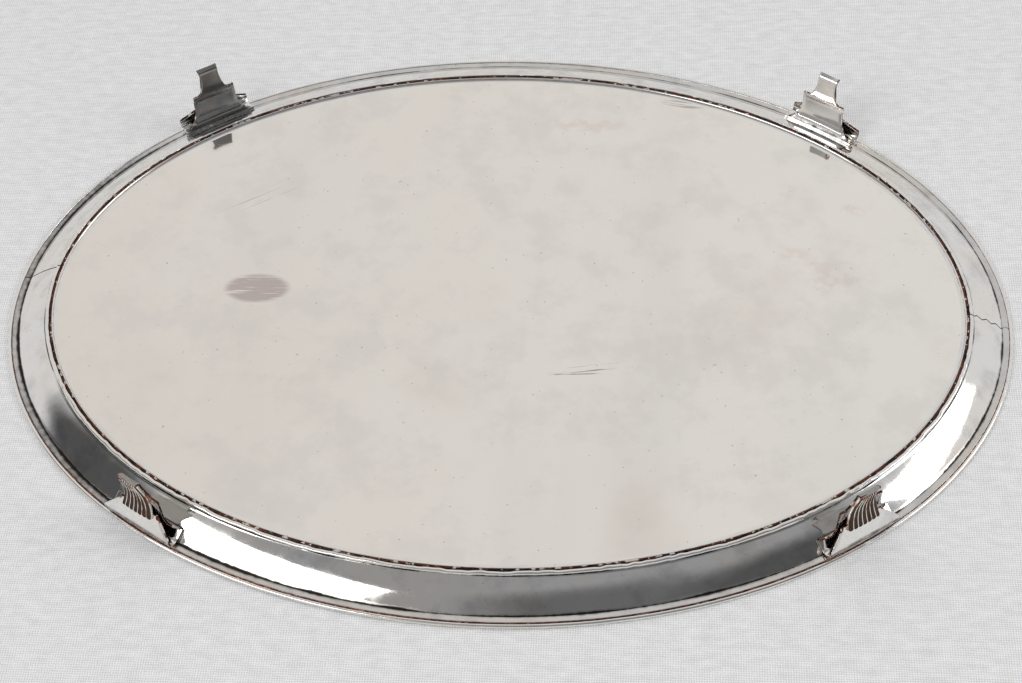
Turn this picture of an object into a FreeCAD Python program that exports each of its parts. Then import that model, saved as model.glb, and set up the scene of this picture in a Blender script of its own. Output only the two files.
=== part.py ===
"""Oval salver of fused silver plate on copper, lying face down on its rim with its four feet up.

The frame: origin at the middle of the oval on the plane that the rim lies on, +X along the length,
-Y the front, +Z up through the back of the tray towards the feet. Sizes are in millimetres.
"""
import FreeCAD, Part
import math
import os

import Sketcher
from FreeCAD import Placement, Rotation, Vector

# The driving sizes. "Inset" is measured inwards from the oval's outermost edge.
SIZES = {
    "half_length": 200.0,     # oval, outermost edge
    "half_width": 142.6,
    "gauge": 0.9,             # thickness of the fused plate
    "foot_gauge": 1.0,
    "bead_radius": 0.85,      # lapped silver bead round the edge
    "reed_radius": 0.6,       # the two smaller reeds inside it
    "reed_width": 1.05,
    "bead_back": 1.45,        # height that the bead's lap reaches behind the flange's edge
    "reed_setback": 0.1,      # from the flange's edge to the first reed
    "reed_valley": 0.4,       # height of the valleys between the reeds
    "border_depth": 0.8,      # border below the flange
    "border_skin": 0.2,       # stamped silver skin of the border
    "flange_start": 1.55,     # insets of the rim strip's features
    "flange_end": 4.3,
    "wall_end": 16.6,
    "lip_end": 18.0,
    "wall_gauge": 1.06,       # gauge of the sloping wall, measured straight down
    "lip_shoulder": 0.5,      # the curve that turns the wall up into the lip
    "lip_rise": 1.1,
    "lip_radius": 0.8,
    "wall_setback": 0.2,      # how far the wall's table side lies inside its back
    "flange_setback": 0.3,
    "solder_gap": 0.4,        # soldered joint between rim strip and plate
    "solder_setback": 2.6,    # from the roll's ends to the solder under it
    "panel_height": 9.0,      # back of the plate above the table
    "ring_width": 4.0,        # flat part of the plate that is carried round with its edge
    "ring_overlap": 2.0,      # how far the flat middle of the plate runs into that ring
    "edge_height": 10.1,      # top of the plate's turned-up edge
    "hollow_rise": 0.95,      # the hollow curve between the panel and the turned-up edge
    "hollow_run": 2.2,
    "hollow_radius": 3.0,
    "seam_width": 0.5,        # brazed end seams of the rim strip
    "seam_tooth": 1.2,
    "seam_slant": 0.3,
    "left_seam": 12.0,        # how far behind the tray's middle each end seam runs
    "right_seam": -2.9,
    "foot_inset": 10.6,       # start of the foot's flap on the wall
    "foot_level": 6.4,
    "flap_start": 1.9,        # where the front sheet starts on its slope, and where its roll begins
    "flap_length": 5.6,
    "flap_slope": 32.0,
    "roll_radius": 3.0,
    "leg_length": 4.4,
    "leg_lean": 30.0,         # how far the front sheet leans in above the roll
    "front_lean": 22.0,       # lean at the front sheet's top end
    "sweep_radius": 20.0,
    "neck_lean": 12.0,        # how far the neck leans out above the sweep
    "neck_length": 6.0,
    "toe_radius": 1.4,
    "toe_slope": 30.0,
    "toe_length": 1.3,
    "heel_out": 2.36,         # the back sheet's lower edge, which stands on the front sheet's flap
    "heel_up": -0.14,
    "heel_slope": 50.0,
    "heel_length": 0.4,
    "heel_radius": 6.0,
    "upright_length": 10.7,
    "roll_half": 15.7,        # half widths of the two sheets, and the heights they are reached at
    "roll_half_top": 8.9,
    "roll_taper_start": 0.6,
    "roll_taper_end": 6.8,
    "foot_half_heel": 14.8,
    "heel_height": -0.5,
    "heel_hollow": 9.0,
    "foot_half_waist": 9.6,
    "waist_height": 7.5,
    "foot_half_shoulder": 9.3,
    "shoulder_height": 15.3,
    "shoulder_hollow": 3.2,
    "foot_half_neck": 5.1,
    "neck_height": 18.0,
    "neck_hollow": 14.0,
    "foot_half_toe": 4.8,
    "foot_top": 27.5,
    "shell_gauge": 0.6,
    "fill_gauge": 0.5,
    "shell_half_top": 3.7,    # the scallop's half widths at its narrow and its wide end
    "shell_half_foot": 7.0,
    "shell_start": 6.4,       # heights of its wide end and its narrow end
    "shell_top": 25.2,
    "fill_margin": 0.6,       # how far the solder fill stops short of the shell's edge
}

# Where each foot stands: its direction from the tray's middle on the oval's own angle, in degrees.
FEET = {
    "front_left": 229.3,
    "front_right": 313.2,
    "back_right": 48.6,
    "back_left": 131.9,
}
SHELL_LOBES = 7
LOBE_ROUNDNESS = 0.56         # radius of a lobe over its width
SEAM_TEETH = 7
SLACK = 5.0                   # how far a cutting shape runs past what it cuts

doc = FreeCAD.newDocument("salver")
sheet = doc.addObject("Spreadsheet::Sheet", "Sizes")
for row, (alias, number) in enumerate(SIZES.items(), start=1):
    sheet.set(f"A{row}", alias)
    sheet.set(f"B{row}", str(number))
    sheet.setAlias(f"B{row}", alias)
doc.recompute()


class Size:
    """A number together with the spreadsheet expression that gives it."""

    def __init__(self, value, text):
        self.value = value
        self.text = text

    def __add__(self, other):
        other = as_size(other)
        return Size(self.value + other.value, f"({self.text} + {other.text})")

    def __sub__(self, other):
        other = as_size(other)
        return Size(self.value - other.value, f"({self.text} - {other.text})")

    def __mul__(self, factor):
        return Size(self.value * factor, f"({self.text} * {factor})")

    def __neg__(self):
        return Size(-self.value, f"(-1 * {self.text})")


def as_size(number):
    """A plain number as a Size."""
    return number if isinstance(number, Size) else Size(float(number), str(float(number)))


def size(alias):
    """A driving size from the sheet."""
    return Size(float(sheet.get(alias)), f"Sizes.{alias}")


def new_body(label):
    """An empty body whose label names the part."""
    body = doc.addObject("PartDesign::Body", label)
    body.Label = label
    return body


def new_sketch(body, name, plane, shift=None):
    """A sketch on one of the body's own origin planes, its origin moved along the sketch's x."""
    sketch = body.newObject("Sketcher::SketchObject", name)
    face = [f for f in body.Origin.OriginFeatures if f.Role == plane][0]
    sketch.AttachmentSupport = (face, "")
    sketch.MapMode = "FlatFace"
    if shift is not None:
        sketch.setExpression("AttachmentOffset.Base.x", shift.text)
    return sketch


def pin(sketch, edge, end, point):
    """Ties one end of an edge to a point whose coordinates are Sizes."""
    for kind, coordinate in zip(("DistanceX", "DistanceY"), point):
        coordinate = as_size(coordinate)
        index = sketch.addConstraint(Sketcher.Constraint(kind, -1, 1, edge, end, coordinate.value))
        sketch.setExpression(f"Constraints[{index}]", coordinate.text)


def outline(sketch, corners):
    """A closed outline. A corner is (x, y), or (x, y, radius) where an arc leads on to the next corner:
    a positive radius turns left on its way, a negative one right."""
    points = [tuple(as_size(c) for c in corner[:2]) for corner in corners]
    flat = [Vector(x.value, y.value, 0) for x, y in points]
    for index, corner in enumerate(corners):
        start, end = flat[index], flat[(index + 1) % len(flat)]
        if len(corner) == 2:
            edge = sketch.addGeometry(Part.LineSegment(start, end))
            sketch_start = 1
        else:
            radius = as_size(corner[2])
            edge, sketch_start = add_arc(sketch, start, end, radius)
            index_radius = sketch.addConstraint(Sketcher.Constraint("Radius", edge, abs(radius.value)))
            text = radius.text if radius.value > 0 else f"(-1 * {radius.text})"
            sketch.setExpression(f"Constraints[{index_radius}]", text)
        pin(sketch, edge, sketch_start, points[index])
        pin(sketch, edge, 3 - sketch_start, points[(index + 1) % len(points)])


def add_arc(sketch, start, end, radius):
    """Adds the short arc from start to end. Returns its number and which of its ends start is."""
    half = (end - start) * 0.5
    reach = math.sqrt(radius.value ** 2 - half.Length ** 2)
    across = Vector(-half.y, half.x, 0).normalize()
    side = 1 if radius.value > 0 else -1
    centre = start + half + across * reach * side
    circle = Part.Circle(centre, Vector(0, 0, 1), abs(radius.value))
    first, last = (start, end) if side > 0 else (end, start)
    angles = [math.atan2(p.y - centre.y, p.x - centre.x) for p in (first, last)]
    if angles[1] < angles[0]:
        angles[1] += 2 * math.pi
    edge = sketch.addGeometry(Part.ArcOfCircle(circle, angles[0], angles[1]))
    return edge, 1 if side > 0 else 2


def oval_path(body, half):
    """The oval of the tray's outermost edge, or its back half, as the path that a section follows."""
    path = new_sketch(body, "oval", "XY_Plane")
    half_length, half_width = size("half_length"), size("half_width")
    oval = Part.Ellipse(Vector(0, 0, 0), half_length.value, half_width.value)
    path.addGeometry(Part.ArcOfEllipse(oval, 0, math.pi) if half else oval)
    path.exposeInternalGeometry(0)
    path.addConstraint(Sketcher.Constraint("Coincident", 0, 3, -1, 1))
    path.addConstraint(Sketcher.Constraint("Horizontal", 1))
    for axis, half in ((1, half_length), (2, half_width)):
        index = path.addConstraint(Sketcher.Constraint("Distance", axis, 2 * half.value))
        path.setExpression(f"Constraints[{index}]", f"2 * {half.text}")
    return path


def ring(label, corners, half=False):
    """A section given as insets and heights, carried round the oval or round its back half."""
    body = new_body(label)
    section = new_sketch(body, "section", "XZ_Plane", size("half_length"))
    outline(section, corners)
    pipe = body.newObject("PartDesign::AdditivePipe", "rim_sweep")
    pipe.Profile = section
    pipe.Spine = (oval_path(body, half), ["Edge1"])
    pipe.Mode = "Frenet"
    return body


def at(inset, height, *radius):
    """A corner of a rim section."""
    return (-as_size(inset), height) + radius


def rim_section():
    """Flange, sloping wall and turned-up lip, seen from the tray's front: table side below."""
    gauge = size("gauge")
    flange_top = size("border_depth") + gauge
    panel_front = size("panel_height") - gauge
    lip_top = size("panel_height") + size("lip_rise")
    return [
        at(size("flange_start"), size("border_depth")),
        at(size("flange_start"), flange_top),
        at(size("flange_end"), flange_top),
        at(size("wall_end"), panel_front + size("wall_gauge")),
        at(size("wall_end") + size("lip_shoulder"), lip_top, size("lip_radius")),
        at(size("lip_end"), lip_top),
        at(size("lip_end"), panel_front),
        at(size("wall_end") + size("wall_setback"), panel_front),
        at(size("flange_end") + size("flange_setback"), size("border_depth")),
    ]


def border_section():
    """The stamped silver border: an outer bead lapped over the sheet's edge, and two smaller reeds."""
    bead, reed = size("bead_radius"), size("reed_radius")
    depth, skin = size("border_depth"), size("border_skin")
    start, valley = size("flange_start"), size("reed_valley")
    first = start + size("reed_setback")
    second = first + size("reed_width")
    inner = second + size("reed_width")
    return [
        at(inner, depth),
        at(inner - skin, depth),
        at(inner - skin, depth - skin),
        at(start + skin, depth - skin),
        at(start + skin, depth),
        at(start, depth),
        at(start, size("bead_back")),
        at(bead, bead * 2, -bead),
        at(0, bead, -bead),
        at(bead, 0),
        at(first, valley, -reed),
        at(second, valley, -reed),
        at(inner, valley),
    ]


def fill_section():
    """The solder inside the border's hollow."""
    depth, skin = size("border_depth"), size("border_skin")
    start = size("flange_start") + skin
    end = size("flange_start") + size("reed_setback") + size("reed_width") * 2 - skin
    return [
        at(start, depth - skin),
        at(start, depth),
        at(end, depth),
        at(end, depth - skin),
    ]


def cut_through(body, name, plane, loops):
    """Cuts closed outlines right through the body, both ways from one of its origin planes."""
    sketch = new_sketch(body, name, plane)
    for corners in loops:
        outline(sketch, corners)
    pocket = body.newObject("PartDesign::Pocket", name + "_cut")
    pocket.Profile = sketch
    pocket.Type = "ThroughAll"
    pocket.Midplane = True
    return pocket


def seam_line(side, shift):
    """The end seam of the rim strip, from outside the edge to inside the lip: toothed on the right,
    a plain slanting line on the left. Shift moves it along the strip."""
    outer = size("half_length") + SLACK
    inner = size("half_length") - size("lip_end") - SLACK
    shift = shift + size("left_seam" if side < 0 else "right_seam")
    slant = size("seam_slant")
    if side < 0:
        return [(-outer, shift + slant), (-inner, shift - slant)]
    step = (outer.value - inner.value) / (2 * SEAM_TEETH)
    tooth = size("seam_tooth")
    return [(outer - step * k, shift + tooth * (k % 2)) for k in range(2 * SEAM_TEETH + 1)]


def seam_band(side):
    """The narrow band that the seam's braze fills."""
    half = size("seam_width") * 0.5
    return seam_line(side, half) + list(reversed(seam_line(side, -half)))


def rim_half(label, side):
    """Front or back half of the rim strip: flange, wall and lip in one bent strip."""
    body = ring(label, rim_section())
    shift = size("seam_width") * (0.5 * side)
    far = -(size("half_width") + SLACK) * side
    right, left = seam_line(1, shift), seam_line(-1, shift)
    waste = right + list(reversed(left)) + [(left[0][0], far), (right[0][0], far)]
    cut_through(body, "other_half", "XY_Plane", [waste])
    return body


def seam_braze(label, side):
    """Braze that fills one end seam of the rim strip."""
    body = ring(label, rim_section())
    reach_x, reach_y = size("half_length") + 2 * SLACK, size("half_width") + 2 * SLACK
    frame = [(-reach_x, -reach_y), (reach_x, -reach_y), (reach_x, reach_y), (-reach_x, reach_y)]
    cut_through(body, "strip_beyond", "XY_Plane", [frame, seam_band(side)])
    return body


def base_plate(label):
    """The flat oval plate, its edge turned up against the rim strip's lip."""
    gauge = size("gauge")
    back, front = size("panel_height"), size("panel_height") - gauge
    outer = size("lip_end") + size("solder_gap")
    inner = outer + gauge
    overlap = inner + size("ring_width")
    body = ring(label, [
        at(outer, front),
        at(outer, size("edge_height")),
        at(inner, size("edge_height")),
        at(inner, back + size("hollow_rise"), -size("hollow_radius")),
        at(inner + size("hollow_run"), back),
        at(overlap, back),
        at(overlap, front),
    ])
    panel = new_sketch(body, "panel", "XY_Plane")
    panel.setExpression("AttachmentOffset.Base.z", front.text)
    middle = inner + size("ring_overlap")
    half_length, half_width = (size(half) - middle for half in ("half_length", "half_width"))
    panel.addGeometry(Part.Ellipse(Vector(0, 0, 0), half_length.value, half_width.value))
    panel.exposeInternalGeometry(0)
    panel.addConstraint(Sketcher.Constraint("Coincident", 0, 3, -1, 1))
    panel.addConstraint(Sketcher.Constraint("Horizontal", 1))
    for axis, half in ((1, half_length), (2, half_width)):
        index = panel.addConstraint(Sketcher.Constraint("Distance", axis, 2 * half.value))
        panel.setExpression(f"Constraints[{index}]", f"2 * {half.text}")
    pad = body.newObject("PartDesign::Pad", "flat")
    pad.Profile = panel
    pad.setExpression("Length", gauge.text)
    return body


def seam_solder(label):
    """Solder in the joint between the plate's edge and the rim strip's lip."""
    outer = size("lip_end")
    inner = outer + size("solder_gap")
    front = size("panel_height") - size("gauge")
    return ring(label, [
        at(outer, front),
        at(outer, size("edge_height")),
        at(inner, size("edge_height")),
        at(inner, front),
    ])


class Walker:
    """Draws a chain of tangent lines and arcs in a sketch, each one starting where the last one ended."""

    def __init__(self, sketch, start, heading):
        self.sketch = sketch
        self.place = Vector(*start, 0)
        self.heading = math.radians(heading)
        self.last = None

    def join(self, edge, start, end):
        """Ties an edge's start to the end of the edge before it, as a smooth joint."""
        if self.last is not None:
            self.sketch.addConstraint(Sketcher.Constraint("Tangent", *self.last, edge, start))
        self.last = (edge, end)

    def line(self, length):
        """Walks straight on."""
        ahead = Vector(math.cos(self.heading), math.sin(self.heading), 0)
        target = self.place + ahead * length.value
        edge = self.sketch.addGeometry(Part.LineSegment(self.place, target))
        self.join(edge, 1, 2)
        index = self.sketch.addConstraint(Sketcher.Constraint("Distance", edge, length.value))
        self.sketch.setExpression(f"Constraints[{index}]", length.text)
        self.place = target

    def turn(self, radius, heading):
        """Walks round an arc to a new heading, to the left or to the right."""
        target_heading = math.radians(heading)
        side = 1 if target_heading > self.heading else -1
        leftward = Vector(-math.sin(self.heading), math.cos(self.heading), 0)
        centre = self.place + leftward * side * radius.value
        circle = Part.Circle(centre, Vector(0, 0, 1), radius.value)
        first, last = (self.heading - side * math.pi / 2, target_heading - side * math.pi / 2)
        arc = Part.ArcOfCircle(circle, min(first, last), max(first, last))
        edge = self.sketch.addGeometry(arc)
        self.join(edge, 1 if side > 0 else 2, 2 if side > 0 else 1)
        index = self.sketch.addConstraint(Sketcher.Constraint("Radius", edge, radius.value))
        self.sketch.setExpression(f"Constraints[{index}]", radius.text)
        normal = Vector(-math.sin(target_heading), math.cos(target_heading), 0)
        self.place = centre - normal * side * radius.value
        self.heading = target_heading


def walk(walker, steps):
    """Takes a walker through its steps: (length) is a line, (radius, heading) is a bend."""
    for step in steps:
        if len(step) == 1:
            walker.line(step[0])
        else:
            walker.turn(*step)


def roll_line(body):
    """Middle line of the foot's front sheet: flap down the wall, roll, and up to the shell."""
    sketch = new_sketch(body, "bend_line", "XZ_Plane")
    slope, first = math.radians(size("flap_slope").value), size("flap_start")
    start = (first.value * math.cos(slope), -first.value * math.sin(slope))
    walk(Walker(sketch, start, -size("flap_slope").value), [
        (size("flap_length") - first,),
        (size("roll_radius"), 90 + size("leg_lean").value),
        (size("leg_length"),),
        (size("sweep_radius"), 90 + size("front_lean").value),
    ])
    return sketch


def bracket_line(body):
    """Middle line of the foot's back sheet: heel, upright, sweep, neck and out-turned toe."""
    sketch = new_sketch(body, "bend_line", "XZ_Plane")
    start = (size("heel_out").value, size("heel_up").value)
    walk(Walker(sketch, start, size("heel_slope").value), [
        (size("heel_length"),),
        (size("heel_radius"), 90),
        (size("upright_length"),),
        (size("sweep_radius"), 90 - size("neck_lean").value),
        (size("neck_length"),),
        (size("toe_radius"), size("toe_slope").value),
        (size("toe_length"),),
    ])
    return sketch


def shell_line(body, offset):
    """A line that keeps a distance outside the front sheet's leg, and goes on up the neck."""
    sketch = new_sketch(body, "bend_line", "XZ_Plane")
    slope, lean = math.radians(size("flap_slope").value), math.radians(size("leg_lean").value)
    flap, roll = size("flap_length").value, size("roll_radius").value
    centre_out = flap * math.cos(slope) + roll * math.sin(slope)
    centre_up = roll * math.cos(slope) - flap * math.sin(slope)
    reach = roll + offset
    start = (centre_out + reach * math.cos(lean), centre_up + reach * math.sin(lean))
    walk(Walker(sketch, start, 90 + size("leg_lean").value), [
        (size("leg_length"),),
        (size("sweep_radius") - offset, 90 - size("neck_lean").value),
        (size("neck_length"),),
    ])
    return sketch


def bent_strip(body, line, gauge, half_width):
    """Sheet of the given gauge and width that follows a middle line."""
    first = line.Geometry[0]
    section = new_sketch(body, "section", "YZ_Plane")
    start = first.StartPoint
    tilt = abs(first.EndPoint.x - start.x) / first.length()
    half_height = gauge * (0.5 / tilt)
    section.AttachmentOffset = Placement(Vector(0, 0, start.x), Rotation())
    outline(section, [
        (-half_width, as_size(start.y) - half_height),
        (half_width, as_size(start.y) - half_height),
        (half_width, as_size(start.y) + half_height),
        (-half_width, as_size(start.y) + half_height),
    ])
    pipe = body.newObject("PartDesign::AdditivePipe", "bent_sheet")
    pipe.Profile = section
    pipe.Spine = (line, [f"Edge{k + 1}" for k in range(line.GeometryCount)])
    pipe.Transition = "Right corner"
    return pipe


def mirrored(corners):
    """One outline on each side of the middle plane."""
    both = []
    for side in (-1, 1):
        both.append([
            (corner[0] * side, corner[1]) + tuple(radius * side for radius in corner[2:])
            for corner in corners
        ])
    return both


def roll_cutouts():
    """Beside the front sheet, which tapers from the full roll to the shell's width."""
    full, top = size("roll_half"), size("roll_half_top")
    return mirrored([
        (full, size("roll_taper_start")),
        (top, size("roll_taper_end")),
        (top, size("foot_top")),
        (full + SLACK, size("foot_top")),
        (full + SLACK, size("roll_taper_start")),
    ])


def bracket_cutouts():
    """Beside the back sheet: hollow flare, waist, pointed shoulder, hollow and slim neck."""
    heel = size("foot_half_heel")
    return mirrored([
        (heel, size("heel_height"), -size("heel_hollow")),
        (size("foot_half_waist"), size("waist_height")),
        (size("foot_half_shoulder"), size("shoulder_height"), -size("shoulder_hollow")),
        (size("foot_half_neck"), size("neck_height"), -size("neck_hollow")),
        (size("foot_half_toe"), size("foot_top")),
        (heel + SLACK, size("foot_top")),
        (heel + SLACK, size("heel_height")),
    ])


def foot(label, angle):
    """The foot's back sheet, a bracket that carries the weight."""
    body = new_body(label)
    bent_strip(body, bracket_line(body), size("foot_gauge"), size("foot_half_heel"))
    cut_through(body, "sides", "YZ_Plane", bracket_cutouts())
    place_on_wall(body, angle)
    return body


def roll(label, angle):
    """The foot's front sheet, rolled into an open tube along the wall."""
    body = new_body(label)
    bent_strip(body, roll_line(body), size("foot_gauge"), size("roll_half"))
    cut_through(body, "sides", "YZ_Plane", roll_cutouts())
    place_on_wall(body, angle)
    return body


def fan(margin):
    """Outline of a scallop shell: straight tapering sides and a row of round lobes at the wide end."""
    top, wide = size("shell_half_top") - margin, size("shell_half_foot") - margin
    start, end = size("shell_start") + margin, size("shell_top") - margin
    step = wide.value * 2 / SHELL_LOBES
    lobes = [(-wide + step * k, start, step * LOBE_ROUNDNESS) for k in range(SHELL_LOBES)]
    return lobes + [(wide, start), (top, end), (-top, end)]


def shell_layer(label, angle, offset, gauge, margin):
    """A fan-shaped layer lying on the foot's outer face."""
    body = new_body(label)
    half = size("foot_half_waist")
    bent_strip(body, shell_line(body, offset), gauge, half)
    reach, low, high = half + SLACK, -SLACK, size("foot_top") + SLACK
    frame = [(-reach, low), (reach, low), (reach, high), (-reach, high)]
    cut_through(body, "fan", "YZ_Plane", [frame, fan(margin)])
    place_on_wall(body, angle)
    return body


def place_on_wall(thing, angle):
    """Moves a foot's piece to its place on the wall, facing squarely out of the oval."""
    turn = math.radians(angle)
    half_length, half_width = size("half_length").value, size("half_width").value
    edge = Vector(half_length * math.cos(turn), half_width * math.sin(turn), 0)
    outward = Vector(math.cos(turn) / half_length, math.sin(turn) / half_width, 0).normalize()
    spot = edge - outward * size("foot_inset").value + Vector(0, 0, size("foot_level").value)
    heading = math.degrees(math.atan2(outward.y, outward.x))
    thing.Placement = Placement(spot, Rotation(Vector(0, 0, 1), heading))


def foot_solder(label, angle, rim):
    """Solder that fills the wedge between the roll's flap and the curved wall."""
    slope, flap = math.radians(size("flap_slope").value), size("flap_length").value
    drop = size("foot_gauge").value * 0.5 / math.cos(slope)
    half = size("roll_half").value - size("solder_setback").value
    depth = size("gauge").value * 3    # deep enough to reach through the wall everywhere
    along = Vector(math.cos(slope), 0, -math.sin(slope))
    start = along * size("flap_start").value + Vector(0, -half, -drop)
    end = along * flap + Vector(0, -half, -drop)
    down = Vector(0, 0, -depth)
    face = Part.Face(Part.makePolygon([start, end, end + down, start + down, start]))
    slab = face.extrude(Vector(0, 2 * half, 0))
    solder = doc.addObject("Part::Feature", label)
    place_on_wall(solder, angle)
    slab.Placement = solder.Placement
    filled = slab.cut(rim.Shape)
    above = max(filled.Solids, key=lambda solid: solid.CenterOfMass.z)
    solder.Label = label
    solder.Shape = above
    return solder


def build():
    """Makes every part of the salver and returns them."""
    parts = [base_plate("base_plate"), seam_solder("seam_solder")]
    rims = {side: rim_half(f"rim_{side}", sign) for side, sign in (("front", -1), ("back", 1))}
    parts += rims.values()
    parts += [seam_braze("end_seam_left", -1), seam_braze("end_seam_right", 1)]
    for name, section in (("border", border_section()), ("border_fill", fill_section())):
        for side, turn in (("front", 180), ("back", 0)):
            half = ring(f"{name}_{side}", section, half=True)
            half.Placement = Placement(Vector(), Rotation(Vector(0, 0, 1), turn))
            parts.append(half)
    outer = size("foot_gauge").value / 2
    fill, skin = size("fill_gauge"), size("shell_gauge")
    fill_middle = outer + fill.value / 2
    shell_middle = outer + fill.value + skin.value / 2
    for place, angle in FEET.items():
        parts.append(foot(f"foot_{place}", angle))
        parts.append(roll(f"foot_roll_{place}", angle))
        parts.append(shell_layer(f"shell_fill_{place}", angle, fill_middle, fill, size("fill_margin")))
        parts.append(shell_layer(f"shell_{place}", angle, shell_middle, skin, as_size(0)))
    doc.recompute()
    for place, angle in FEET.items():
        rim = rims[place.split("_")[0]]
        parts.append(foot_solder(f"foot_solder_{place}", angle, rim))
    doc.recompute()
    return parts


def check(parts):
    """Stops the build if any object failed or any part's shape is unsound."""
    for thing in doc.Objects:
        if "Invalid" in thing.State or "Error" in thing.State:
            raise RuntimeError(f"{thing.Label} failed: {thing.State}")
    for part in parts:
        if part.Shape.isNull() or not part.Shape.isValid() or len(part.Shape.Solids) != 1:
            raise RuntimeError(f"{part.Label} isn't one sound solid")


PARTS = build()
check(PARTS)
os.makedirs("parts", exist_ok=True)
for part in PARTS:
    part.Shape.exportStep(f"parts/{part.Label}.step")
    print(part.Label, round(part.Shape.Volume, 1))
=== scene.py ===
"""Looks of an old oval salver of fused silver plate, lying face down on its rim with its feet up.

Lengths in this script are millimetres unless a name says otherwise; a mesh is scaled to metres when made.
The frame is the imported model's: origin at the middle of the oval, Z = 0 the plane that the rim lies on.
"""
import math

import bmesh
import bpy
import numpy as np
from mathutils import Matrix, Vector

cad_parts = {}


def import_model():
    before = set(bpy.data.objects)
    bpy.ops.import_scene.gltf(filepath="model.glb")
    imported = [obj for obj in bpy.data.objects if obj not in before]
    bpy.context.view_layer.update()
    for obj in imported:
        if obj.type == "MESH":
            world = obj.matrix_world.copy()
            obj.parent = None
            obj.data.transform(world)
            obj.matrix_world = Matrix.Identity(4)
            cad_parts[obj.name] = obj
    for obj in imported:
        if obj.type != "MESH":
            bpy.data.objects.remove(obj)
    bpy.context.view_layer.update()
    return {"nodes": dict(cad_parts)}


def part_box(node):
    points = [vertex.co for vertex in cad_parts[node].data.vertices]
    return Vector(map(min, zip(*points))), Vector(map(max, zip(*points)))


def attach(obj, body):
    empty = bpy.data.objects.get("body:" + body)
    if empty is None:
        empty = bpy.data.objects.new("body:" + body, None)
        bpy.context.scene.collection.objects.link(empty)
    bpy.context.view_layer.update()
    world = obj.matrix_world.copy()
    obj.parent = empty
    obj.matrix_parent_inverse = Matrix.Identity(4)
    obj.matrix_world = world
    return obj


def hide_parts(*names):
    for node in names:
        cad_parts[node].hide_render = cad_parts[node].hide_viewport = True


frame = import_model()

MM = 0.001


def box(node):
    """A CAD node's lowest and highest corners in millimetres."""
    low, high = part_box(node)
    return np.array(low) / MM, np.array(high) / MM


# ---------------------------------------------------------------- sizes
OVAL_LENGTH = box("border_front")[1][0]          # half lengths of the oval's outermost edge
OVAL_WIDTH = -box("border_front")[0][1]
FLANGE_START = OVAL_LENGTH - box("rim_front")[1][0]
PLATE_OUTER = OVAL_LENGTH - box("base_plate")[1][0]
LIP_END = OVAL_LENGTH - box("seam_solder")[1][0]
FLANGE_BOTTOM = box("rim_front")[0][2]
LIP_TOP = box("rim_front")[1][2]
PLATE_BOTTOM, PLATE_TOP = box("base_plate")[0][2], box("base_plate")[1][2]
GAUGE = 0.9                                      # thickness of the fused sheet
FLANGE_END = 4.3
WALL_END = 16.6
FLANGE_TOP = FLANGE_BOTTOM + GAUGE
PANEL_TOP = PLATE_BOTTOM + GAUGE
WALL_TOP = PANEL_TOP + 0.16
BEAD = 0.85                                      # radius of the bead round the edge
SEAM = 0.5                                       # width of the brazed end seams
SEAM_TEETH = 7
TOOTH = 1.2
SEAM_SHIFT = {-1: 12.0, 1: -2.9}                 # how far behind the middle the left and right seams run
SEAM_SLANT = 0.3
SEAM_REACH = 0.012                               # share of a half strip that bends to meet its seam

# Each foot's direction from the middle, as the oval's own angle in degrees.
FEET = {
    "front_left": 229.3,
    "front_right": 313.2,
    "back_right": 48.6,
    "back_left": 131.9,
}

# Camera: where it looks, from which side, and its lens.
CAMERA_TARGET = Vector((0.00292, -0.0136, 0.0))
CAMERA_DISTANCE = 0.764
CAMERA_ELEVATION = 52.47
CAMERA_AZIMUTH = 5.4
CAMERA_ROLL = -2.89
LENS_MM = 67.98
SENSOR_MM = 36.0


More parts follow.
